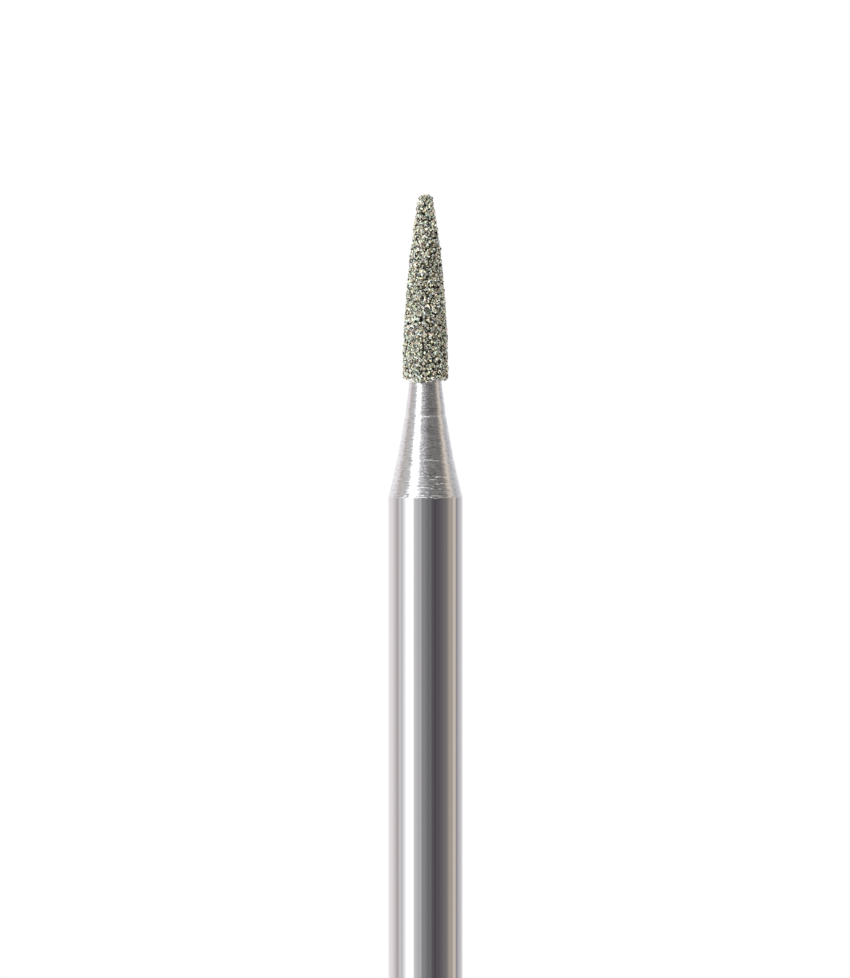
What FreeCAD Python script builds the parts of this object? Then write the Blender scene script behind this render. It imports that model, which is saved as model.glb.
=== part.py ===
"""A diamond bur: a turned steel blank whose head carries a coat of diamond grit in plated nickel.

Millimetres. The origin is the centre of the shank's end face, and +Z runs up the axis to the tip.
"""

import FreeCAD
import Part
import math
import os
import random

from FreeCAD import Placement, Rotation, Vector

# Steel blank: a handpiece shank, turned down through a flared neck to the core of the head
overall_length = 44.5
shank_diameter = 2.35
end_chamfer = 0.25
neck_length = 3.7
neck_diameter = 1.01
flare_radius = 27.0
shoulder_blend = 0.8

# Head: a tangent ogive, measured over the points of the grit
head_length = 5.86
head_diameter = 1.44
tip_diameter = 0.42
rim_chamfer = 0.06
tip_chamfer = 0.07

# Coat: plated nickel, with diamond crystals sunk part way into it
bond_thickness = 0.08
bond_sides = 16
bond_tapers = 6
core_tapers = 3
crystal_size = 0.22
crystal_pitch = 0.209
crystal_proud = 0.07
crystal_size_spread = 0.15
crystal_shortest = 0.75
crystal_seed = 41
slices_per_stretch = 60

# Worked out from the sizes above
shank_radius = shank_diameter / 2
neck_radius = neck_diameter / 2
head_radius = head_diameter / 2
tip_radius = tip_diameter / 2
head_base = overall_length - head_length
shoulder = head_base - neck_length
ogive_narrowing = head_radius - tip_radius
ogive_radius = (head_length**2 + ogive_narrowing**2) / (2 * ogive_narrowing)
golden_angle = math.pi * (3 - math.sqrt(5))

AXIS = Vector(0, 0, 1)


def at(radius, height):
    """A point of a profile, in the plane that is turned about the axis."""
    return Vector(radius, 0, height)


def ogive(height, inset):
    """Radius of the ogive at a height above the head's base, inset from the points of the grit."""
    return head_radius - ogive_radius + math.sqrt((ogive_radius - inset) ** 2 - height**2)


def ogive_tapers(count, low, high, inset):
    """Corners (radius, height above the head's base) of the tapers that follow the ogive."""
    heights = [low + (high - low) * corner / count for corner in range(count + 1)]
    return [(ogive(height, inset), height) for height in heights]


def bowed_arc(start, end, radius):
    """The arc of that radius from start to end that bows towards the axis."""
    chord = end - start
    sagitta = radius - math.sqrt(radius**2 - (chord.Length / 2) ** 2)
    inward = Vector(-chord.z, 0, chord.x).normalize()
    if inward.x > 0:
        inward = -inward
    return Part.Arc(start, (start + end) / 2 + inward * sagitta, end).toShape()


def steel_blank():
    """Shank, flared neck and the core under the coat, turned from one bar."""
    inset = crystal_proud + bond_thickness
    core = ogive_tapers(core_tapers, bond_thickness, head_length - inset, inset)
    shank = [
        at(0, 0),
        at(shank_radius - end_chamfer, 0),
        at(shank_radius, end_chamfer),
        at(shank_radius, shoulder),
    ]
    neck_top = at(neck_radius, head_base)
    head = [
        neck_top,
        at(neck_radius, head_base + bond_thickness),
        *(at(radius, head_base + height) for radius, height in core),
        at(0, head_base + core[-1][1]),
        at(0, 0),
    ]
    flare = bowed_arc(shank[-1], neck_top, flare_radius)
    profile = Part.Wire([*Part.makePolygon(shank).Edges, flare, *Part.makePolygon(head).Edges])
    blank = Part.Face(profile).revolve(at(0, 0), AXIS, 360)
    return blank.makeFillet(shoulder_blend, [shoulder_edge(blank)])


def shoulder_edge(blank):
    """The sharp edge where the flare of the neck meets the shank."""
    for edge in blank.Edges:
        rim = edge.BoundBox
        if abs(rim.ZMin - shoulder) < 1e-4 and abs(rim.ZMax - shoulder) < 1e-4:
            return edge
    raise ValueError("the flare and the shank share no edge")


def bond_outline():
    """The bond's half section, as (radius, height above the head's base), from its foot to its top."""
    top = head_length - crystal_proud
    side = ogive_tapers(bond_tapers, rim_chamfer, top - tip_chamfer, crystal_proud)
    foot = (side[0][0] - rim_chamfer, 0)
    crown = (side[-1][0] - tip_chamfer, top)
    return [foot, *side, crown]


def bond_body(outline):
    """The bond's outer form: rings of flats, so that each crystal sits on a flat seat."""
    rings = []
    for radius, height in outline:
        turns = [2 * math.pi * side / bond_sides for side in range(bond_sides)]
        rings.append(
            [Vector(radius * math.cos(a), radius * math.sin(a), head_base + height) for a in turns]
        )
    faces = [flat(rings[0]), flat(rings[-1])]
    for low, high in zip(rings, rings[1:]):
        for side in range(bond_sides):
            after = (side + 1) % bond_sides
            faces.append(flat([low[side], low[after], high[after], high[side]]))
    return solid_of(faces)


def flat(corners):
    return Part.Face(Part.makePolygon([*corners, corners[0]]))


def solid_of(faces):
    """A solid inside closed flat faces, with its skin turned outwards."""
    solid = Part.Solid(Part.Shell(faces))
    if solid.Volume < 0:
        solid.reverse()
    return solid


def crystal(size, height_share):
    """One octahedral diamond, of that size from corner to corner and a share of it in height."""
    reach = size / 2
    waist = [Vector(reach, 0, 0), Vector(0, reach, 0), Vector(-reach, 0, 0), Vector(0, -reach, 0)]
    faces = []
    for apex in (Vector(0, 0, reach * height_share), Vector(0, 0, -reach * height_share)):
        for corner in range(4):
            faces.append(flat([waist[corner], waist[(corner + 1) % 4], apex]))
    return solid_of(faces)


def coat_slices(outline):
    """Short stretches of the bond's section from the neck to the axis: (radius, height, normal, area)."""
    path = [(neck_radius, 0), *outline, (0, outline[-1][1])]
    slices = []
    for (r0, z0), (r1, z1) in zip(path, path[1:]):
        length = math.hypot(r1 - r0, z1 - z0)
        normal = ((z1 - z0) / length, (r0 - r1) / length)
        for step in range(slices_per_stretch):
            share = (step + 0.5) / slices_per_stretch
            radius = r0 + (r1 - r0) * share
            height = z0 + (z1 - z0) * share
            slices.append((radius, height, normal, 2 * math.pi * radius * length / slices_per_stretch))
    return slices


def grit(outline):
    """Crystals spread evenly over the bond in a golden-angle spiral, each turned its own way."""
    chance = random.Random(crystal_seed)
    slices = coat_slices(outline)
    area = sum(piece[3] for piece in slices)
    count = round(area / crystal_pitch**2)
    crystals = []
    covered = 0.0
    for radius, height, (out, up), patch in slices:
        covered += patch
        while len(crystals) < count and (len(crystals) + 0.5) * area / count <= covered:
            size = crystal_size * (1 + chance.uniform(-crystal_size_spread, crystal_size_spread))
            stone = crystal(size, chance.uniform(crystal_shortest, 1))
            sink = crystal_size / 2 - crystal_proud
            turn = golden_angle * len(crystals)
            reach = radius - out * sink
            seat = Vector(
                reach * math.cos(turn), reach * math.sin(turn), head_base + height - up * sink
            )
            lean = Vector(chance.gauss(0, 1), chance.gauss(0, 1), chance.gauss(0, 1))
            stone.Placement = Placement(seat, Rotation(lean, chance.uniform(0, 360)))
            crystals.append(stone)
    return crystals


def diamond_coating(blank):
    """Bond and crystals as one layer, hollow where the blank's core and neck fill it."""
    outline = bond_outline()
    layer = bond_body(outline).fuse(grit(outline))
    return layer.cut(blank)


def one_solid(shape, name):
    if len(shape.Solids) != 1:
        raise ValueError(f"{name} came out as {len(shape.Solids)} solids")
    return shape.Solids[0]


def main():
    os.makedirs("parts", exist_ok=True)
    blank = one_solid(steel_blank(), "steel_blank")
    coating = one_solid(diamond_coating(blank), "diamond_coating")
    blank.exportStep("parts/steel_blank.step")
    coating.exportStep("parts/diamond_coating.step")


main()
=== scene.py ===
"""The looks of a diamond bur: a turned and ground steel blank under a coat of diamond grit in nickel.

Sizes are written in millimetres and turned to metres by mm. The bur stands on the origin, +Z up.
"""

import math
import random

import bmesh
import bpy
from mathutils import Euler, Matrix, Vector, noise


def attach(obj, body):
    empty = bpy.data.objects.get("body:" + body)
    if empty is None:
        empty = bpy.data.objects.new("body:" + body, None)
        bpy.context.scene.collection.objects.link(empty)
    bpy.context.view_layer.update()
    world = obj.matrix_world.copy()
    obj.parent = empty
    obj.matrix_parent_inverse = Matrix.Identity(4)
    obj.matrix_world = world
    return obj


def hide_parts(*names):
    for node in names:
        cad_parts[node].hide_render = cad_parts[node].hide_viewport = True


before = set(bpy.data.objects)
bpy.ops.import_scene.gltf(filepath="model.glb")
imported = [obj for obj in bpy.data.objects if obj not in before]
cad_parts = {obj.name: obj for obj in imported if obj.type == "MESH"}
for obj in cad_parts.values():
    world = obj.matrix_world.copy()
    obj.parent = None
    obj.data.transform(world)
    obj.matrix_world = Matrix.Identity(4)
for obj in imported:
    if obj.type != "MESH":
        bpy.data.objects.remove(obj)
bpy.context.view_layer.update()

mm = 0.001

# The blank
overall_length = 44.5
shank_radius = 1.175
end_chamfer = 0.25
neck_length = 3.7
neck_radius = 0.505
flare_radius = 27.0
shoulder_reach = 0.035
shoulder_wander = 0.036
blank_segments = 256
feed_pitch = 0.03
feed_depth = 0.0004
coarse_feed_depth = 0.0018
coarse_feed_reach = 1.9
tool_steps = ((0.62, 0.005), (1.15, 0.011), (2.54, 0.015), (3.34, 0.006))
step_run_out = 0.3
feed_seed = 3
wander_waves = 11
faintest_marks = 0.25

# The head, over the points of the grit
head_length = 5.86
head_radius = 0.72
tip_radius = 0.21
rim_round = 0.14
tip_round = 0.16

# The coat
bond_thickness = 0.08
grit_size = 0.104
grit_pitch = 0.08
grit_proud = 0.042
grit_seed = 7
corner_cuts = (0.32, 0.4, 0.48, 0.36, 0.44, 0.5, 0.3, 0.42)
crystal_cube = 0.82
fracture_reach = (0.22, 0.38)
facet_order = (0.31, 0.53, 0.79)
size_range = (0.75, 1.3)
sink_range = (0.6, 1.1)
stretch_range = (0.8, 1.2)
drift_share = 0.14
clear_range = (0.55, 0.8)
facet_spread = 0.2
foot_drop = 0.06
foot_reach = 0.3
foot_flat = 0.01
bond_segments = 144
bond_row = 0.045
bond_lump = 0.014
bond_lump_size = 0.09

# Patterns, by the size of one speck: too fine to show on the real bur, so drawn coarser
frost_length = 0.2
mark_length = 0.45
mark_width = 0.055
mark_gain = 1.8
frost_relief = 0.013
nickel_grain = 0.05
nickel_relief = 0.008
inclusion_size = 0.046
inclusion_share = 0.38
pit_size = 0.078
facet_relief = 0.012

# The photograph's frame, in millimetres at the bur
frame_height = 30.85
frame_centre_z = 35.2
frame_centre_x = -0.0165
camera_distance = 300.0
sensor = 36.0

# The studio: its cards by their bearing from the camera, round to the right. The shank mirrors
# the level row, the neck the upper row, and the head all of them with the ceiling and bench.
softbox_level = 1.7
tones = {
    "white": "#ffffff",
    "rose_white": "#f6f0f2",
    "pale_rose": "#e3dbdc",
    "mist": "#e8e6ec",
    "light_grey": "#e0dfe0",
    "pale_grey": "#cbcccc",
    "silver": "#c1bfbf",
    "stone": "#cac3bf",
    "warm_grey": "#b3b0ac",
    "lavender": "#c0bbc1",
    "mid_grey": "#929192",
    "slate": "#777779",
    "ash": "#827f7d",
    "dusk": "#605b61",
    "soot": "#4c4950",
    "sand": "#b4ab9f",
    "cream": "#ddd1c7",
    "ivory": "#e6dbcf",
}
level_cards = (
    (-180, "white"),
    (-150, "rose_white"),
    (-128, "rose_white"),
    (-113, "pale_rose"),
    (-97, "warm_grey"),
    (-87, "pale_rose"),
    (-78, "pale_grey"),
    (-69, "white"),
    (-64, "white"),
    (-62, "softbox"),
    (-39, "softbox"),
    (-37, "light_grey"),
    (-23, "silver"),
    (-14, "silver"),
    (-11, "mid_grey"),
    (-3, "mid_grey"),
    (7, "slate"),
    (17, "slate"),
    (20, "dusk"),
    (26, "dusk"),
    (30, "soot"),
    (34, "dusk"),
    (42, "dusk"),
    (69, "ash"),
    (80, "sand"),
    (92, "sand"),
    (97, "cream"),
    (106, "cream"),
    (111, "mid_grey"),
    (122, "lavender"),
    (180, "white"),
)
upper_cards = (
    (-180, "white"),
    (-140, "white"),
    (-122, "rose_white"),
    (-103, "stone"),
    (-92, "stone"),
    (-72, "pale_grey"),
    (-61, "light_grey"),
    (-57, "softbox"),
    (-30, "softbox"),
    (-24, "light_grey"),
    (-9, "silver"),
    (8, "mid_grey"),
    (18, "ash"),
    (66, "ash"),
    (79, "sand"),
    (88, "ivory"),
    (97, "ivory"),
    (108, "silver"),
    (125, "pale_grey"),
    (145, "mist"),
    (180, "white"),
)
louvre_span = ((-26, "#000000"), (-16, "#ffffff"), (38, "#ffffff"), (54, "#000000"))
louvre_pitch = 0.25
louvre_dark = 0.12
louvre_light = 2.0
ceiling = (
    (-180, "white"),
    (-110, "white"),
    (-90, "softbox"),
    (80, "softbox"),
    (100, "white"),
    (180, "white"),
)
bench_cards = (
    (-180, "white"),
    (-100, "white"),
    (-80, "softbox"),
    (-20, "softbox"),
    (0, "white"),
    (12, "silver"),
    (48, "silver"),
    (60, "light_grey"),
    (90, "ivory"),
    (120, "pale_grey"),
    (180, "white"),
)
upper_from = (3.5, 8)
ceiling_from = (44, 52)
bench_from = (-28, -40)
backdrop_from = (24, 12)
floor_radius = 120.0
floor_fade = (0.35, 0.98)

# The key lamp
lamp_width = 250.0
lamp_height = 500.0
lamp_watts = 1.2
lamp_bearing = -52
lamp_distance = 500.0
lamp_rise = 300.0
lamp_aim = 30.0

head_base = overall_length - head_length
shoulder = head_base - neck_length
ogive_narrowing = head_radius - tip_radius
ogive_radius = (head_length**2 + ogive_narrowing**2) / (2 * ogive_narrowing)
golden_angle = math.pi * (3 - math.sqrt(5))


def linear(hex_colour):
    """Linear colour of an sRGB hex value."""
    channels = [int(hex_colour[place : place + 2], 16) / 255 for place in (1, 3, 5)]
    return [c / 12.92 if c <= 0.04045 else ((c + 0.055) / 1.055) ** 2.4 for c in channels] + [1.0]


def finish_piece(bm, name, material, node):
    """A piece of the object from its mesh, riding on the bur's one body."""
    mesh = bpy.data.meshes.new(name)
    bm.to_mesh(mesh)
    bm.free()
    mesh.materials.append(material)
    piece = bpy.data.objects.new(name, mesh)
    bpy.context.collection.objects.link(piece)
    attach(piece, "root")
    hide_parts(node)
    return piece


def turned(outline, segments):
    """A closed skin turned from an outline of (radius, height) that starts and ends on the axis."""
    bm = bmesh.new()
    verts = [bm.verts.new((radius * mm, 0, height * mm)) for radius, height in outline]
    edges = [bm.edges.new(pair) for pair in zip(verts, verts[1:])]
    bmesh.ops.spin(
        bm,
        geom=verts + edges,
        axis=(0, 0, 1),
        cent=(0, 0, 0),
        angle=2 * math.pi,
        steps=segments,
        use_merge=True,
    )
    bmesh.ops.remove_doubles(bm, verts=bm.verts, dist=1e-8)
    bmesh.ops.recalc_face_normals(bm, faces=bm.faces)
    for face in bm.faces:
        face.smooth = True
    return bm


def flare(height):
    """Radius of the neck at a height above the shoulder: an arc that bows towards the axis."""
    drop = shank_radius - neck_radius
    chord = math.hypot(drop, neck_length)
    to_centre = math.sqrt(flare_radius**2 - (chord / 2) ** 2)
    centre_radius = (shank_radius + neck_radius) / 2 + to_centre * neck_length / chord
    centre_height = neck_length / 2 + to_centre * drop / chord
    return centre_radius - math.sqrt(flare_radius**2 - (height - centre_height) ** 2)


def neck_profile():
    """The neck's outline from the shoulder up, with the tool's feed marks and a few small steps."""
    chance = random.Random(feed_seed)
    rows = round((neck_length - shoulder_reach) / feed_pitch)
    points = []
    for row in range(rows + 1):
        height = shoulder_reach + (neck_length - shoulder_reach) * row / rows
        coarseness = max(0.0, 1 - height / coarse_feed_reach)
        depth = feed_depth + (coarse_feed_depth - feed_depth) * coarseness
        radius = flare(height) + chance.uniform(-depth, depth)
        for step_height, step_depth in tool_steps:
            if height > step_height:
                radius -= step_depth * max(0.0, 1 - (height - step_height) / step_run_out)
        points.append((radius, shoulder + height))
    return points


def shoulder_profile():
    """The small round where the ground shank meets the turned neck."""
    steps = 4
    low = Vector((shank_radius, -shoulder_reach))
    corner = Vector((shank_radius, 0.0))
    high = Vector((flare(shoulder_reach), shoulder_reach))
    points = []
    for step in range(steps):
        share = step / steps
        point = low.lerp(corner, share).lerp(corner.lerp(high, share), share)
        points.append((point.x, shoulder + point.y))
    return points


def steel_blank(material):
    """Shank, shoulder, neck and the core that the coat hides, with a wavering line at the shoulder."""
    # The core follows the head's outline from the rim to the tip, one bond inside it
    core = [(radius - bond_thickness, height) for radius, height in head_outline()[2:-1]]
    edge_round = 0.02
    outline = [
        (0, 0),
        (shank_radius - end_chamfer - edge_round, 0),
        (shank_radius - end_chamfer, edge_round / 4),
        (shank_radius - edge_round / 4, end_chamfer - edge_round / 4),
        (shank_radius, end_chamfer + edge_round),
        *shoulder_profile(),
        *neck_profile(),
        (neck_radius, head_base + bond_thickness),
        *[point for point in core if point[1] > head_base + bond_thickness],
        (0, overall_length - 2 * bond_thickness),
    ]
    bm = turned(outline, blank_segments)
    turned_finish = bm.verts.layers.float.new("turned_finish")
    mark_depth = bm.verts.layers.float.new("mark_depth")
    for vert in bm.verts:
        height = vert.co.z / mm - shoulder
        vert[turned_finish] = 1.0 if height > 0 else 0.0
        fading = max(faintest_marks, 1 - height / coarse_feed_reach)
        vert[mark_depth] = fading if height > 0 else 0.0
        nearness = max(0.0, 1 - abs(height) / (3 * shoulder_wander))
        way = Vector((vert.co.x, vert.co.y, 0)).normalized()
        waver = noise.fractal(way * wander_waves, 0.6, 2.3, 2)
        vert.co.z += shoulder_wander * mm * nearness * waver
    return finish_piece(bm, "turned_steel_blank", material, "steel_blank")


def ogive(height, inset):
    """Radius of the ogive at a height above the head's base, inset from the points of the grit."""
    return head_radius - ogive_radius + math.sqrt((ogive_radius - inset) ** 2 - height**2)


def head_outline():
    """The bond's outline (radius, height): out from the neck, round the rim and up over the tip."""
    arc_steps = 6
    top = head_length - grit_proud
    rim = rim_round - grit_proud
    nose = tip_round - grit_proud
    rim_radius = ogive(rim, grit_proud)
    nose_radius = ogive(top - nose, grit_proud)
    points = [(neck_radius - 0.02, 0.0)]
    for step in range(arc_steps):
        turn = math.pi / 2 * step / arc_steps
        points.append((rim_radius - rim + rim * math.sin(turn), rim - rim * math.cos(turn)))
    rows = round((top - nose - rim) / bond_row)
    for row in range(rows + 1):
        height = rim + (top - nose - rim) * row / rows
        points.append((ogive(height, grit_proud), height))
    for step in range(1, arc_steps + 1):
        turn = math.pi / 2 * step / arc_steps
        points.append((nose_radius - nose + nose * math.cos(turn), top - nose + nose * math.sin(turn)))
    points.append((0.0, top))
    return [(radius, head_base + height) for radius, height in points]


def foot_lowered(point):
    """How far the uneven foot of the coat runs down the neck at a point of it, in millimetres."""
    height = point.z - head_base
    bearing = math.atan2(point.x, -point.y)
    wave = math.cos(bearing + 0.35) + 0.7 * math.cos(3 * bearing + 0.9) - 0.5
    return foot_drop * wave * max(0.0, 1 - height / foot_reach)


def nickel_bond(material):
    """The plated nickel between the crystals: a lumpy skin that the stones are sunk into."""
    bm = turned([(0, head_base + bond_thickness), *head_outline()], bond_segments)
    bm.normal_update()
    scale = 1 / (bond_lump_size * mm)
    lumps = [noise.noise(vert.co * scale) for vert in bm.verts]
    moves = [vert.normal * lump * bond_lump * mm for vert, lump in zip(bm.verts, lumps)]
    lump_height = bm.verts.layers.float.new("lump_height")
    for vert, move, lump in zip(bm.verts, moves, lumps):
        vert[lump_height] = lump
        if vert.co.z > (head_base + foot_flat) * mm:
            vert.co += move
        vert.co.z -= foot_lowered(vert.co / mm) * mm
    return finish_piece(bm, "nickel_bond", material, "diamond_coating")


def crushed_stones():
    """A few crystals of unit size: cubes with their corners cut, and a fracture or two across them."""
    chance = random.Random(grit_seed)
    stones = []
    for cut in corner_cuts:
        bm = bmesh.new()
        bmesh.ops.create_cube(bm, size=crystal_cube)
        bmesh.ops.bevel(
            bm,
            geom=bm.verts[:] + bm.edges[:],
            offset=cut * crystal_cube,
            affect="VERTICES",
            segments=1,
            profile=0.5,
            material=-1,
            clamp_overlap=True,
        )
        for fracture in range(2):
            facing = Vector((chance.gauss(0, 1), chance.gauss(0, 1), chance.gauss(0, 1))).normalized()
            cut_at = facing * chance.uniform(*fracture_reach)
            sliced = bmesh.ops.bisect_plane(
                bm,
                geom=bm.verts[:] + bm.edges[:] + bm.faces[:],
                plane_co=cut_at,
                plane_no=facing,
                clear_outer=True,
            )
            rim = [item for item in sliced["geom_cut"] if isinstance(item, bmesh.types.BMEdge)]
            bmesh.ops.edgenet_fill(bm, edges=rim)
        bmesh.ops.remove_doubles(bm, verts=bm.verts, dist=1e-4)
        bmesh.ops.recalc_face_normals(bm, faces=bm.faces)

        # The facets are put in one order along a line, so that every run gives each its own clearness
        order = Vector(facet_order)
        bm.faces.sort(key=lambda face: face.calc_center_median().dot(order))
        mesh = bpy.data.meshes.new("stone")
        bm.to_mesh(mesh)
        bm.free()
        mesh.attributes.new("clearness", "FLOAT", "FACE")
        mesh.attributes.new("rise", "FLOAT", "POINT")
        stones.append(mesh)
    return stones


def seats():
    """Places for the crystals, evenly spread over the bond: (point, outward normal), in millimetres."""
    outline = head_outline()
    stretches = []
    for (r0, z0), (r1, z1) in zip(outline, outline[1:]):
        length = math.hypot(r1 - r0, z1 - z0)
        if length > 0:
            parts = 4
            for part in range(parts):
                share = (part + 0.5) / parts
                radius = r0 + (r1 - r0) * share
                normal = ((z1 - z0) / length, (r0 - r1) / length)
                area = 2 * math.pi * radius * length / parts
                stretches.append((radius, z0 + (z1 - z0) * share, normal, area))
    total = sum(stretch[3] for stretch in stretches)
    count = round(total / grit_pitch**2)
    places = []
    covered = 0.0
    for radius, height, (out, up), area in stretches:
        covered += area
        while len(places) < count and (len(places) + 0.5) * total / count <= covered:
            turn = golden_angle * len(places)
            normal = Vector((out * math.cos(turn), out * math.sin(turn), up))
            place = Vector((radius * math.cos(turn), radius * math.sin(turn), height))
            place.z -= foot_lowered(place)
            places.append((place, normal))
    return places


def diamond_grit(material):
    """Some three thousand crushed crystals, each bedded in the bond and turned its own way."""
    chance = random.Random(grit_seed)
    stones = crushed_stones()
    bm = bmesh.new()
    bm.faces.layers.float.new("clearness")
    bm.verts.layers.float.new("rise")
    for place, normal in seats():
        size = grit_size * chance.uniform(*size_range)
        drift = Vector((chance.gauss(0, 1), chance.gauss(0, 1), chance.gauss(0, 1)))
        sink = size / 2 - grit_proud * chance.uniform(*sink_range)
        centre = (place + drift * grit_pitch * drift_share - normal * sink) * mm
        stretch = Vector([chance.uniform(*stretch_range) for axis in range(3)])
        turn = Euler([chance.uniform(0, 2 * math.pi) for axis in range(3)])
        stone = chance.choice(stones).copy()
        stone.transform(Matrix.LocRotScale(centre, turn, stretch * size * mm))
        clear = chance.uniform(*clear_range)
        facets = [min(max(clear + chance.gauss(0, facet_spread), 0), 1) for facet in stone.polygons]
        stone.attributes["clearness"].data.foreach_set("value", facets)
        rises = [(vert.co / mm - place).dot(normal) / grit_proud for vert in stone.vertices]
        stone.attributes["rise"].data.foreach_set("value", rises)
        bm.from_mesh(stone)
        bpy.data.meshes.remove(stone)
    for stone in stones:
        bpy.data.meshes.remove(stone)
    return finish_piece(bm, "diamond_grit", material, "diamond_coating")


def new_material(name):
    """A new material, with its node tree and its shader."""
    material = bpy.data.materials.new(name)
    material.use_nodes = True
    nodes = material.node_tree.nodes
    return material, material.node_tree, nodes["Principled BSDF"]


def add(tree, kind, settings=None, values=None, links=None):
    """Adds a node with its settings, socket values and incoming links."""
    node = tree.nodes.new(kind)
    for key, value in (settings or {}).items():
        setattr(node, key, value)
    for key, value in (values or {}).items():
        node.inputs[key].default_value = value
    for key, socket in (links or {}).items():
        tree.links.new(socket, node.inputs[key])
    return node


def ramp(tree, factor, stops):
    """A colour ramp through (position, colour) stops."""
    node = add(tree, "ShaderNodeValToRGB", links={"Fac": factor})
    elements = node.color_ramp.elements
    while len(elements) > len(stops):
        elements.remove(elements[-1])
    while len(elements) < len(stops):
        elements.new(0.5)
    for element, (position, colour) in zip(elements, stops):
        element.position = position
        element.color = colour
    return node.outputs["Color"]


def bearing_stop(bearing):
    """Where a bearing in degrees lies on a ramp that runs once round the bur."""
    return bearing / 360 + 0.5


def streaks(tree, place, length, width, roughness):
    """Noise whose specks are of one length round the axis and another width along it."""
    mapped = add(
        tree,
        "ShaderNodeMapping",
        values={"Scale": (1 / (length * mm), 1 / (length * mm), 1 / (width * mm))},
        links={"Vector": place},
    )
    return add(
        tree,
        "ShaderNodeTexNoise",
        values={"Scale": 1.0, "Detail": 2.0, "Roughness": roughness},
        links={"Vector": mapped.outputs["Vector"]},
    ).outputs["Fac"]


def turned_and_ground_steel():
    """Stainless steel, ground and polished on the shank and left as turned on the neck.

    The shank mirrors the studio in straight clean bands. The neck's fine specks and lathe marks
    break the same bands up, so that it looks frosted.
    """
    material, tree, shader = new_material("turned_and_ground_stainless_steel")
    shader.inputs["Metallic"].default_value = 1.0
    place = add(tree, "ShaderNodeTexCoord").outputs["Object"]
    neck = add(tree, "ShaderNodeAttribute", {"attribute_name": "turned_finish"}).outputs["Fac"]

    # Frosting: short torn specks, a little longer round the neck than along it
    frost = streaks(tree, place, frost_length, mark_width, 0.6)

    # Marks of the tool run round the neck, and are deepest near the shoulder
    marks = streaks(tree, place, mark_length, mark_width, 0.5)
    mark_depth = add(tree, "ShaderNodeAttribute", {"attribute_name": "mark_depth"}).outputs["Fac"]
    deep_marks = add(tree, "ShaderNodeMath", {"operation": "MULTIPLY"}, {1: mark_gain}, {0: marks})
    grain = add(tree, "ShaderNodeMix", links={0: mark_depth, 2: frost, 3: deep_marks.outputs[0]})
    grain_height = add(
        tree,
        "ShaderNodeMath",
        {"operation": "MULTIPLY"},
        links={0: grain.outputs[0], 1: neck},
    )
    bump = add(
        tree,
        "ShaderNodeBump",
        values={"Strength": 1.0, "Distance": frost_relief * mm},
        links={"Height": grain_height.outputs[0]},
    )
    tree.links.new(bump.outputs["Normal"], shader.inputs["Normal"])

    rough = add(
        tree,
        "ShaderNodeMapRange",
        values={"To Min": 0.04, "To Max": 0.1},
        links={"Value": neck},
    )
    tree.links.new(rough.outputs["Result"], shader.inputs["Roughness"])
    speckle = ramp(tree, frost, [(0.38, linear("#d4d4d7")), (0.5, linear("#e8e8ea"))])
    colour = add(tree, "ShaderNodeMix", {"data_type": "RGBA"}, links={0: neck, 7: speckle})
    colour.inputs[6].default_value = linear("#e4e4e6")
    tree.links.new(colour.outputs[2], shader.inputs["Base Color"])
    return material


def electroplated_nickel():
    """Plated nickel, a matt grey whose colour turns darker and warmer in its hollows, as painted shade.

    It is the dull ground between the stones, against which their facets glint.
    """
    material, tree, shader = new_material("electroplated_nickel")
    shader.inputs["Metallic"].default_value = 1.0
    shader.inputs["Roughness"].default_value = 0.38
    place = add(tree, "ShaderNodeTexCoord").outputs["Object"]
    grain = add(
        tree,
        "ShaderNodeTexNoise",
        values={"Scale": 1 / (nickel_grain * mm), "Detail": 3.0},
        links={"Vector": place},
    )
    # Painted shade: the base colour runs from near black in the hollows between the lumps to light grey
    # on their tops
    lump = add(tree, "ShaderNodeAttribute", {"attribute_name": "lump_height"}).outputs["Fac"]
    depth = add(
        tree,
        "ShaderNodeMapRange",
        values={"From Min": -0.5, "From Max": 0.5},
        links={"Value": lump},
    )
    stops = [(0.2, linear("#2c2b25")), (0.55, linear("#6a695e")), (0.85, linear("#a3a297"))]
    tree.links.new(ramp(tree, depth.outputs["Result"], stops), shader.inputs["Base Color"])
    bump = add(
        tree,
        "ShaderNodeBump",
        values={"Strength": 0.8, "Distance": nickel_relief * mm},
        links={"Height": grain.outputs["Fac"]},
    )
    tree.links.new(bump.outputs["Normal"], shader.inputs["Normal"])
    return material


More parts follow.
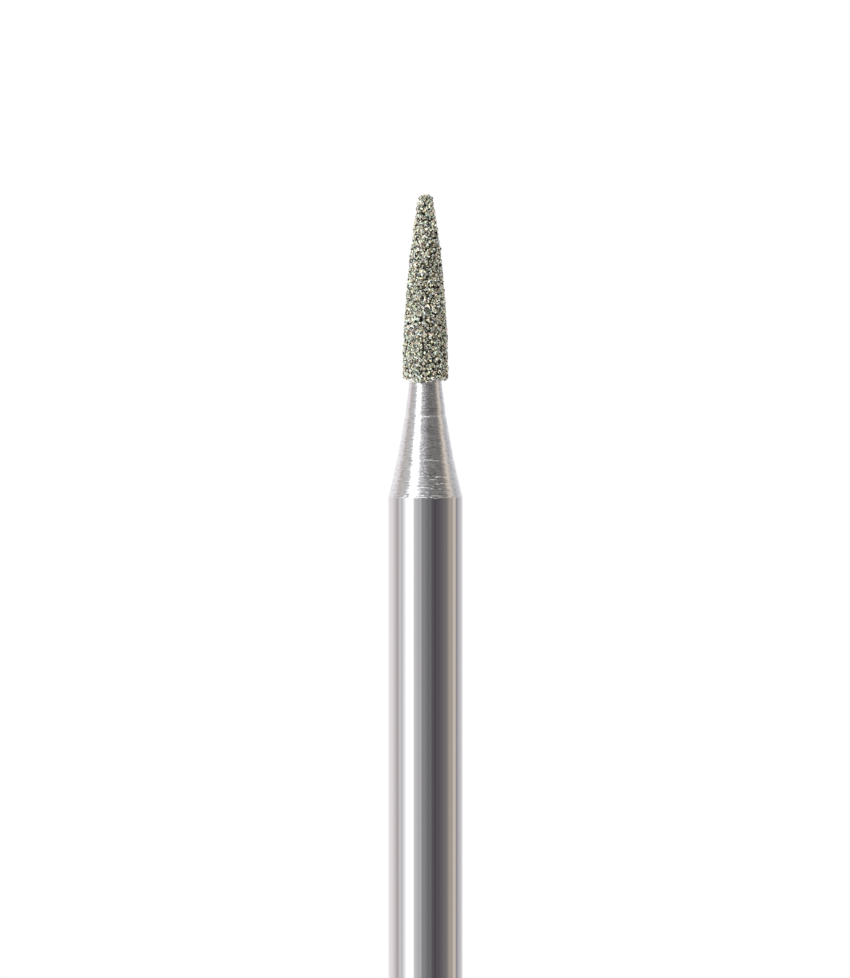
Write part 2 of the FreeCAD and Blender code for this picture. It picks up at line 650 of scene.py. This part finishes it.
def crushed_diamond():
    """Synthetic diamond grit: sharp facets from olive and grey to clear, each stone its own.

    The stones throw light back off their facets and off the nickel that they are bedded in, so
    most of it is treated as a mirror's and glints, and pits and feet get painted shade, near black.
    """
    material, tree, shader = new_material("crushed_synthetic_diamond")
    shader.inputs["Metallic"].default_value = 0.9
    shader.inputs["IOR"].default_value = 2.42
    facet = add(tree, "ShaderNodeAttribute", {"attribute_name": "clearness"}).outputs["Fac"]
    rise = add(tree, "ShaderNodeAttribute", {"attribute_name": "rise"}).outputs["Fac"]

    # Growth steps and inclusions inside each facet, just under half a crystal wide
    place = add(tree, "ShaderNodeTexCoord").outputs["Object"]
    steps = add(
        tree,
        "ShaderNodeTexVoronoi",
        {"feature": "F1"},
        {"Scale": 1 / (inclusion_size * mm)},
        {"Vector": place},
    )
    step = add(tree, "ShaderNodeSeparateColor", links={0: steps.outputs["Color"]})
    clear = add(
        tree,
        "ShaderNodeMix",
        values={0: inclusion_share},
        links={2: facet, 3: step.outputs[0]},
    ).outputs[0]
    hue = step.outputs[1]
    clear_stops = [
        (0.2, linear("#0c0c0a")),
        (0.3, linear("#69695e")),
        (0.39, linear("#d6d5c9")),
        (0.47, linear("#ffffff")),
    ]
    hue_stops = [
        (0.0, linear("#fff0cc")),
        (0.2, linear("#f0f8d4")),
        (0.38, linear("#d0efe2")),
        (0.5, linear("#fffdf4")),
        (0.62, linear("#d4e8f8")),
        (0.74, linear("#fffbec")),
        (0.86, linear("#fbe2da")),
        (1.0, linear("#fff2cc")),
    ]

    # Painted shade: dark pits where fractures meet, where light is lost
    pits = add(
        tree,
        "ShaderNodeTexVoronoi",
        {"feature": "F1"},
        {"Scale": 1 / (pit_size * mm)},
        {"Vector": place},
    )
    pit_shade = ramp(
        tree,
        pits.outputs["Distance"],
        [(0.58, linear("#ffffff")), (0.66, linear("#8e8d86")), (0.71, linear("#0c0c0a"))],
    )
    body = ramp(tree, clear, clear_stops)
    for tint in (ramp(tree, hue, hue_stops), pit_shade):
        body = add(
            tree,
            "ShaderNodeMix",
            {"data_type": "RGBA", "blend_type": "MULTIPLY"},
            {0: 1.0},
            {6: body, 7: tint},
        ).outputs[2]

    # Painted shade: the foot of each stone, where it sinks into the bond, is darkened to near black
    foot = add(
        tree,
        "ShaderNodeMapRange",
        values={"From Min": -0.8, "From Max": 0.0, "To Min": 0.0, "To Max": 1.0},
        links={"Value": rise},
    )
    colour = add(
        tree,
        "ShaderNodeMix",
        {"data_type": "RGBA"},
        links={0: foot.outputs["Result"], 7: body},
    )
    colour.inputs[6].default_value = linear("#0c0c0a")
    tree.links.new(colour.outputs[2], shader.inputs["Base Color"])
    rough = add(
        tree,
        "ShaderNodeMapRange",
        values={"To Min": 0.24, "To Max": 0.06},
        links={"Value": clear},
    )
    tree.links.new(rough.outputs["Result"], shader.inputs["Roughness"])
    bump = add(
        tree,
        "ShaderNodeBump",
        values={"Strength": 1.0, "Distance": facet_relief * mm},
        links={"Height": steps.outputs["Distance"]},
    )
    tree.links.new(bump.outputs["Normal"], shader.inputs["Normal"])
    return material


def bearing_round_bur(tree, axes):
    """Bearing from the camera, round to the right, as 0 to 1 with the camera's side at a half."""
    towards = add(tree, "ShaderNodeMath", {"operation": "MULTIPLY"}, {1: -1.0}, {0: axes.outputs["Y"]})
    bearing = add(
        tree,
        "ShaderNodeMath",
        {"operation": "ARCTAN2"},
        links={0: axes.outputs["X"], 1: towards.outputs[0]},
    )
    return add(
        tree,
        "ShaderNodeMath",
        {"operation": "MULTIPLY_ADD"},
        {1: 1 / (2 * math.pi), 2: 0.5},
        {0: bearing.outputs[0]},
    ).outputs[0]


def cards(tree, turn, row):
    """A row of cards that stands round the bur, from the tones at its bearings."""
    stops = []
    for bearing, tone in row:
        level = [softbox_level] * 3 if tone == "softbox" else linear(tones[tone])[:3]
        stops.append((bearing_stop(bearing), [channel / softbox_level for channel in level] + [1.0]))
    return ramp(tree, turn, stops)


def fade(tree, height, start, end):
    """0 below the start elevation and 1 above the end, in degrees."""
    return add(
        tree,
        "ShaderNodeMapRange",
        {"interpolation_type": "SMOOTHSTEP"},
        {"From Min": math.sin(math.radians(start)), "From Max": math.sin(math.radians(end))},
        {"Value": height},
    ).outputs["Result"]


def louvred(tree, turn, height, row):
    """The cards' colours behind a louvre that stands in front of the bur: light and dark slats."""
    wave = add(
        tree,
        "ShaderNodeMath",
        {"operation": "MULTIPLY"},
        {1: 2 * math.pi / louvre_pitch},
        {0: height},
    )
    slats = add(tree, "ShaderNodeMath", {"operation": "SINE"}, links={0: wave.outputs[0]})
    level = add(
        tree,
        "ShaderNodeMapRange",
        values={"From Min": -1.0, "From Max": 1.0, "To Min": louvre_dark, "To Max": louvre_light},
        links={"Value": slats.outputs[0]},
    ).outputs["Result"]
    stops = [(bearing_stop(bearing), linear(colour)) for bearing, colour in louvre_span]
    shaded = add(
        tree,
        "ShaderNodeVectorMath",
        {"operation": "SCALE"},
        links={0: row, "Scale": level},
    ).outputs[0]
    return add(
        tree,
        "ShaderNodeMix",
        {"data_type": "RGBA"},
        links={0: ramp(tree, turn, stops), 6: row, 7: shaded},
    ).outputs[2]


def studio_world():
    """A product studio: cards round the bur, a ceiling and a bench, and plain white for the camera."""
    world = bpy.data.worlds.new("studio")
    world.use_nodes = True
    bpy.context.scene.world = world
    tree = world.node_tree
    tree.nodes.clear()
    way = add(tree, "ShaderNodeTexCoord").outputs["Generated"]
    axes = add(tree, "ShaderNodeSeparateXYZ", links={"Vector": way})
    turn = bearing_round_bur(tree, axes)
    height = axes.outputs["Z"]
    rows = (
        (upper_from, louvred(tree, turn, height, cards(tree, turn, upper_cards))),
        (ceiling_from, cards(tree, turn, ceiling)),
        (bench_from, cards(tree, turn, bench_cards)),
    )
    room = cards(tree, turn, level_cards)
    for (start, end), row in rows:
        room = add(
            tree,
            "ShaderNodeMix",
            {"data_type": "RGBA"},
            links={0: fade(tree, height, start, end), 6: room, 7: row},
        ).outputs[2]
    studio = add(
        tree,
        "ShaderNodeBackground",
        values={"Strength": softbox_level},
        links={"Color": room},
    )
    plain = add(tree, "ShaderNodeBackground", values={"Color": (1, 1, 1, 1), "Strength": 1.0})

    # The camera sees plain white, and so does what the bur mirrors from straight behind it
    path = add(tree, "ShaderNodeLightPath")
    narrow, wide = [math.cos(math.radians(angle)) for angle in backdrop_from]
    behind = add(
        tree,
        "ShaderNodeMapRange",
        {"interpolation_type": "SMOOTHSTEP"},
        {"From Min": narrow, "From Max": wide},
        {"Value": axes.outputs["Y"]},
    ).outputs["Result"]
    mirrored = add(
        tree,
        "ShaderNodeMath",
        {"operation": "MAXIMUM"},
        links={0: path.outputs["Is Glossy Ray"], 1: path.outputs["Is Transmission Ray"]},
    )
    backdrop = add(
        tree,
        "ShaderNodeMath",
        {"operation": "MULTIPLY"},
        links={0: mirrored.outputs[0], 1: behind},
    )
    seen = add(
        tree,
        "ShaderNodeMath",
        {"operation": "MAXIMUM"},
        links={0: path.outputs["Is Camera Ray"], 1: backdrop.outputs[0]},
    )
    both = add(
        tree,
        "ShaderNodeMixShader",
        links={0: seen.outputs[0], 1: studio.outputs[0], 2: plain.outputs[0]},
    )
    add(tree, "ShaderNodeOutputWorld", links={"Surface": both.outputs[0]})


def key_lamp():
    """A large soft lamp in front on the left, where the studio's softbox stands."""
    data = bpy.data.lights.new("key", "AREA")
    data.shape = "RECTANGLE"
    data.size = lamp_width * mm
    data.size_y = lamp_height * mm
    data.energy = lamp_watts
    lamp = bpy.data.objects.new("key", data)
    bpy.context.collection.objects.link(lamp)
    bearing = math.radians(lamp_bearing)
    across = lamp_distance * math.sin(bearing)
    back = -lamp_distance * math.cos(bearing)
    lamp.location = (across * mm, back * mm, lamp_rise * mm)
    aim = Vector((0, 0, lamp_aim * mm)) - lamp.location
    lamp.rotation_euler = aim.to_track_quat("-Z", "Y").to_euler()
    lamp.visible_glossy = False


def pale_floor():
    """A plain pale disc under the bur that fades to the white behind it and keeps the bur's shadow."""
    bm = bmesh.new()
    bmesh.ops.create_circle(bm, cap_ends=True, segments=96, radius=floor_radius * mm)
    mesh = bpy.data.meshes.new("floor")
    bm.to_mesh(mesh)
    bm.free()
    floor = bpy.data.objects.new("floor", mesh)
    bpy.context.collection.objects.link(floor)
    floor.visible_glossy = False

    material, tree, shader = new_material("matt_white_paper")
    shader.inputs["Base Color"].default_value = linear("#f4f4f3")
    shader.inputs["Roughness"].default_value = 0.9
    shader.inputs["Specular IOR Level"].default_value = 0.1
    place = add(tree, "ShaderNodeTexCoord").outputs["Object"]
    reach = add(tree, "ShaderNodeVectorMath", {"operation": "LENGTH"}, links={0: place})
    fade_start, fade_end = [floor_radius * share * mm for share in floor_fade]
    edge = add(
        tree,
        "ShaderNodeMapRange",
        {"interpolation_type": "SMOOTHSTEP"},
        {"From Min": fade_start, "From Max": fade_end},
        {"Value": reach.outputs["Value"]},
    )
    seen = add(tree, "ShaderNodeLightPath").outputs["Is Camera Ray"]
    faded = add(
        tree,
        "ShaderNodeMath",
        {"operation": "MULTIPLY"},
        links={0: edge.outputs["Result"], 1: seen},
    )
    white = add(tree, "ShaderNodeEmission", values={"Color": (1, 1, 1, 1), "Strength": 1.0})
    both = add(
        tree,
        "ShaderNodeMixShader",
        links={0: faded.outputs[0], 1: shader.outputs[0], 2: white.outputs[0]},
    )
    tree.links.new(both.outputs[0], tree.nodes["Material Output"].inputs["Surface"])
    mesh.materials.append(material)


def square_on_camera():
    """A long lens, level with the bur, with the shank cut by the bottom of the frame."""
    data = bpy.data.cameras.new("camera")
    data.sensor_width = sensor
    data.lens = sensor * camera_distance / frame_height
    camera = bpy.data.objects.new("camera", data)
    bpy.context.collection.objects.link(camera)
    camera.location = (frame_centre_x * mm, -camera_distance * mm, frame_centre_z * mm)
    camera.rotation_euler = (math.pi / 2, 0, 0)
    data.clip_start = 0.01
    data.clip_end = 10
    bpy.context.scene.camera = camera


steel_blank(turned_and_ground_steel())
nickel_bond(electroplated_nickel())
diamond_grit(crushed_diamond())
studio_world()
key_lamp()
pale_floor()
square_on_camera()
bpy.context.scene.view_settings.view_transform = "Standard"
